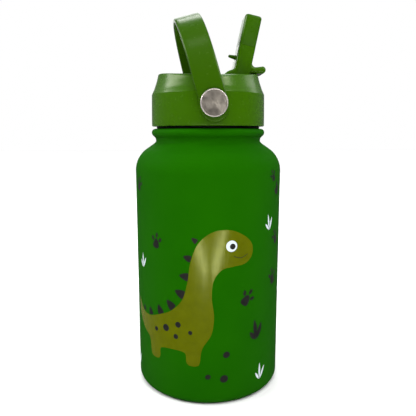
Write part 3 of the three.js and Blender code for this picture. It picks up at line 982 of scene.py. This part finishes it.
def footprint(at, size, angle=0):
    """A rounded pad with three toes."""
    pad = flowing([(-1.7, -1.2), (-1.15, 0.9), (0, 2.0), (1.15, 0.9), (1.7, -1.2), (0.9, -2.1),
        (-0.9, -2.1)], 6, closed=True)[::-1]
    toes = [((-2.05, 1.7), 30), ((0, 3.35), 0), ((2.05, 1.7), -30)]
    marks = [pad, *(spot(toe, 0.62, 1.65, splay) for toe, splay in toes)]
    return [turned(mark, at, angle, size) for mark in marks]


def back_plates():
    """Small plates along the dinosaur's back, from its head to its tail."""
    plate = flowing([(-1.9, -1.1), (-1.5, 1.3), (0, 3.3), (1.5, 1.3), (1.9, -1.1), (0, -1.5)], 6,
        closed=True)[::-1]
    rows = [((-8.9, 79.4), 52, 0.62), ((-12.0, 71.2), 72, 0.8), ((-13.4, 62.6), 82, 0.95),
        ((-15.6, 54.2), 66, 1.05), ((-20.8, 47.8), 45, 1.05), ((-27.4, 44.0), 26, 0.95),
        ((-34.2, 41.6), 16, 0.8), ((-40.2, 41.8), 6, 0.6)]
    return [turned(plate, at, angle, size) for at, angle, size in rows]


def dinosaur():
    """A plain long-necked dinosaur of the toy-box kind, walking to the right."""
    body = flowing([
        (-47.5, 45.5), (-46, 38), (-41, 32), (-35.5, 28.5), (-34.2, 21.5), (-32.6, 19.8), (-29.2, 19.8),
        (-27.8, 21.5), (-27.2, 25.6), (-20.5, 26.6), (-14.2, 25.8), (-13.4, 21.5), (-11.8, 19.8),
        (-8.4, 19.8), (-7, 21.5), (-5.8, 28.5), (-1.6, 35.5), (-0.4, 44), (-1.4, 53), (-0.6, 61),
        (3.2, 66), (9, 67.3), (14.6, 68.2), (18.2, 71.8), (18, 77), (13.6, 81.3), (6.5, 84.2),
        (-1.5, 83.2), (-7.8, 77.8), (-11.2, 69), (-12.6, 60), (-15.2, 51.5), (-20.8, 45.6), (-28, 42.2),
        (-35.5, 39.8), (-41.5, 40.6), (-45, 43.5),
    ], closed=True)
    smile = flowing([(8.6, 71.9), (12.2, 70.9), (15.8, 72.4)])
    mouth = smile + [(x, z + 0.3) for x, z in smile][::-1]
    spots = [((-24, 36.5), 1.7), ((-18.6, 33.2), 1.2), ((-17.4, 39.2), 1.4), ((-30.2, 34.4), 1.1),
        ((-11.4, 36), 1.0)]
    wrapped("dinosaur_plates", back_plates(), 0.015, DARK)
    wrapped("dinosaur_body", [body], 0.03, GOLD)
    wrapped("dinosaur_spots", [spot(at, r) for at, r in spots] + [mouth], 0.042, DARK)
    wrapped("dinosaur_eye", [spot((7.6, 76.8), 2.6)], 0.042, LIGHT)
    wrapped("dinosaur_pupil", [spot((8.1, 76.6), 1.35)], 0.052, DARK)


def scatter():
    """Footprints, tufts and pebbles round the whole wall."""
    prints = [((-29.4, 76.5), 1.15, -8), ((15.2, 50.6), 1.3, -38), ((37.2, 76.3), 1.15, 22),
        ((34.6, 56.8), 1.3, 12), ((-44.2, 102.0), 1.1, -20), ((33.5, 106.4), 0.9, 30), ((52, 93), 1.2, -25),
        ((57, 30), 1.3, 15), ((71, 62), 1.15, -12), ((84, 96), 1.25, 35), ((93, 44), 1.3, -30),
        ((107, 79), 1.15, 8), ((-62, 84), 1.25, 28), ((-70, 52), 1.2, -18), ((-86, 71), 1.3, 12),
        ((-97, 100), 1.15, -35), ((-83, 20), 1.2, 24), ((-105, 34), 1.25, -6)]
    dark_tufts = [((21.8, 29.5), 1.3, 4), ((37.6, 97.5), 0.9, -6), ((62, 73), 1.25, 3), ((81, 22), 1.3, -4),
        ((100, 59), 1.1, 6), ((-58, 62), 1.2, -5), ((-76, 94), 1.2, 4), ((-94, 50), 1.25, -3),
        ((-110, 82), 1.15, 5)]
    pale_tufts = [((24.4, 8.2), 1.05, -4), ((30.2, 81.6), 0.95, 5), ((-41, 62.5), 0.9, -3),
        ((-51.5, 7.5), 1.1, 4), ((47, 46), 1.0, -5), ((66, 104), 0.95, 4), ((74, 42), 1.05, 2),
        ((90, 75), 1.0, -6), ((104, 12), 1.1, 3), ((-66, 101), 0.95, -4), ((-63, 27), 1.05, 5),
        ((-84, 39), 1.0, -2), ((-99, 66), 1.05, 4), ((-108, 8), 1.1, -5)]
    pebbles = [((5.5, 25.2), 1.7), ((-3.2, 14.6), 1.35), ((4.4, 13.3), 2.0), ((45, 12), 1.7),
        ((50, 17), 1.3), ((67, 10), 1.9), ((88, 9), 1.5), ((92, 14), 1.2), ((112, 24), 1.8), ((-70, 8), 1.6),
        ((-65, 13), 1.2), ((-93, 10), 1.9), ((-88, 84), 1.3), ((78, 81), 1.3), ((43, 66), 1.1),
        ((-52, 90), 1.2)]
    wrapped("footprints", [m for at, size, angle in prints for m in footprint(at, size, angle)], 0.03, DARK)
    wrapped("dark_tufts", [m for at, size, angle in dark_tufts for m in tuft(at, size, angle)], 0.024, DARK)
    narrow = [leaves for at, size, angle in pale_tufts for leaves in tuft(at, size, angle, width=1.15)]
    wrapped("pale_tufts", narrow, 0.036, LIGHT)
    wrapped("pebbles", [spot(at, r, 0.92, 30) for at, r in pebbles], 0.03, DARK)


# ---- Hidden parts, which keep their CAD shape ----


def recolor(node, material):
    slots = frame["nodes"][node].data.materials
    slots.clear()
    slots.append(material)


def hidden_parts():
    for node in ("shell_bottom", "rivet_post_front", "rivet_post_back", "spout_pin_front", "spout_pin_back"):
        recolor(node, PLAIN_STEEL)
    for node in ("vacuum_seal", "getter"):
        recolor(node, SOLDER)
    recolor("spout_seal", CLEAR_SILICONE)


# ---- Floor, light and camera ----
FLOOR_HALF = 3000
AIM = (0, 0, 120)  # what the lights point at


def paper_floor():
    corners = [(x * FLOOR_HALF, y * FLOOR_HALF, 0) for x, y in ((-1, -1), (1, -1), (1, 1), (-1, 1))]
    floor = make("floor", corners, [(0, 1, 2, 3)])
    paper = Surface("floor_paper", linear(224, 224, 224), 0.9, Specular_IOR_Level=0.1)
    floor.data.materials.append(paper.mottle_only(linear(222, 222, 222)))
    floor.visible_glossy = False


def studio():
    """A white backdrop for the camera. What the surfaces reflect is a dimmer room, darkest in front."""
    world = bpy.data.worlds.new("studio")
    world.use_nodes = True
    bpy.context.scene.world = world
    tree = world.node_tree

    def ramp(source, start, end, low, high):
        node = tree.nodes.new("ShaderNodeMapRange")
        node.interpolation_type = "SMOOTHSTEP"
        set_range(node, start, end, low, high)
        tree.links.new(source, node.inputs["Value"])
        return node.outputs["Result"]

    def math_node(operation, *sources):
        node = tree.nodes.new("ShaderNodeMath")
        node.operation = operation
        for source, socket in zip(sources, node.inputs):
            tree.links.new(source, socket)
        return node.outputs["Value"]

    axes = tree.nodes.new("ShaderNodeSeparateXYZ")
    tree.links.new(tree.nodes.new("ShaderNodeTexCoord").outputs["Generated"], axes.inputs["Vector"])
    walls = ramp(axes.outputs["Y"], -0.35, 0.55, 0.005, 0.25)  # brighter behind
    beside = ramp(math_node("ABSOLUTE", axes.outputs["X"]), 0.4, 0.85, 0, 1)
    upper = math_node("MULTIPLY", beside, ramp(axes.outputs["Z"], 0.2, 0.6, 0, 0.8))
    room = math_node("ADD", walls, upper)
    backdrop = tree.nodes["Background"]
    around = tree.nodes.new("ShaderNodeBackground")
    backdrop.inputs["Color"].default_value = (1, 1, 1, 1)
    tree.links.new(room, around.inputs["Strength"])
    seen = tree.nodes.new("ShaderNodeMixShader")
    tree.links.new(tree.nodes.new("ShaderNodeLightPath").outputs["Is Camera Ray"], seen.inputs["Fac"])
    tree.links.new(around.outputs["Background"], seen.inputs[1])
    tree.links.new(backdrop.outputs["Background"], seen.inputs[2])
    tree.links.new(seen.outputs["Shader"], tree.nodes["World Output"].inputs["Surface"])


def lamp(name, data, azimuth, elevation, distance, target=AIM):
    """A light in a direction from the object: azimuth runs from the front towards the spout's side."""
    around, raised = math.radians(azimuth), math.radians(elevation)
    flat = Vector((math.sin(around), -math.cos(around), 0)) * math.cos(raised)
    away = flat + Vector((0, 0, math.sin(raised)))
    made = bpy.data.objects.new(name, data)
    made.location = (Vector(target) + away * distance) * MM
    made.rotation_euler = away.to_track_quat("Z", "Y").to_euler()
    bpy.context.scene.collection.objects.link(made)
    return made


def panel(name, width, height, radiance):
    """The data of a rectangular light."""
    data = bpy.data.lights.new(name, "AREA")
    data.shape = "RECTANGLE"
    data.size, data.size_y = width * MM, height * MM
    data.energy = radiance * math.pi * data.size * data.size_y
    return data


def softbox(name, azimuth, elevation, size, radiance, distance=900, target=AIM):
    """A rectangular light that the camera doesn't see."""
    made = lamp(name, panel(name, *size, radiance), azimuth, elevation, distance, target)
    made.visible_camera = False


def fill(name, azimuth, elevation, level):
    """Very soft sunlight. Its level is how bright a white surface that faces it becomes."""
    data = bpy.data.lights.new(name, "SUN")
    data.angle = math.radians(60)
    data.energy = level * math.pi
    made = lamp(name, data, azimuth, elevation, distance=2000)
    made.visible_glossy = False


def strip(name, near, far, width, radiance):
    """A long narrow light lying on the floor in front of the bottle, between two places."""
    along = Vector((*far, 0)) - Vector((*near, 0))
    made = bpy.data.objects.new(name, panel(name, width, along.length, radiance))
    made.location = (Vector((*near, 2)) + along / 2) * MM
    made.rotation_euler = (math.pi, 0, math.atan2(along.y, along.x) - math.pi / 2)
    made.visible_camera = False
    bpy.context.scene.collection.objects.link(made)


def light():
    """Softboxes and strips for the highlights, and fills for the colours."""
    softbox("left", -86, 31, (760, 210), 9.8)
    softbox("right", 104, 27, (470, 190), 2.6)
    softbox("right_front", 38, 37, (230, 220), 17)
    softbox("rear", 178, 26, (520, 480), 2)
    softbox("strap_card", -13, 60, (60, 120), 5)
    softbox("rivet_card", 5.7, 3.9, (90, 80), 1.2, distance=600, target=(0, -32, 139.6))
    softbox("top_rear", 180, 58, (300, 260), 5.8)
    strip("left_strip", (-25, -240), (-250, -440), 34, 13)
    strip("right_strip", (5, -240), (200, -460), 34, 13)
    fill("front_fill", 0, 54, 0.58)
    fill("back_fill", 185, 40, 0.35)
    fill("top_fill", 0, 82, 0.6)


def camera():
    """At the bead's height and close to the bottle, looking slightly down."""
    distance, height = 233.2, 126.3
    azimuth, pitch = math.radians(-4.96), math.radians(9.225)
    data = bpy.data.cameras.new("view")
    data.sensor_width = 36
    data.lens = 39.46
    data.clip_start = 0.01
    view = bpy.data.objects.new("view", data)
    view.location = Vector((distance * math.sin(azimuth), -distance * math.cos(azimuth), height)) * MM
    view.rotation_euler = (math.pi / 2 - pitch, 0, azimuth)
    bpy.context.scene.collection.objects.link(view)
    bpy.context.scene.camera = view


camera()
paper_floor()
studio()
light()
outer_wall()
base_cover()
liner()
liner_floor()
cap()
vent_ring()
gasket()
plug()
straw()
rivets()
handle()
spout_body()
mouthpiece()
vent_nub()
dinosaur()
scatter()
hidden_parts()
bpy.context.scene.view_settings.view_transform = "Standard"
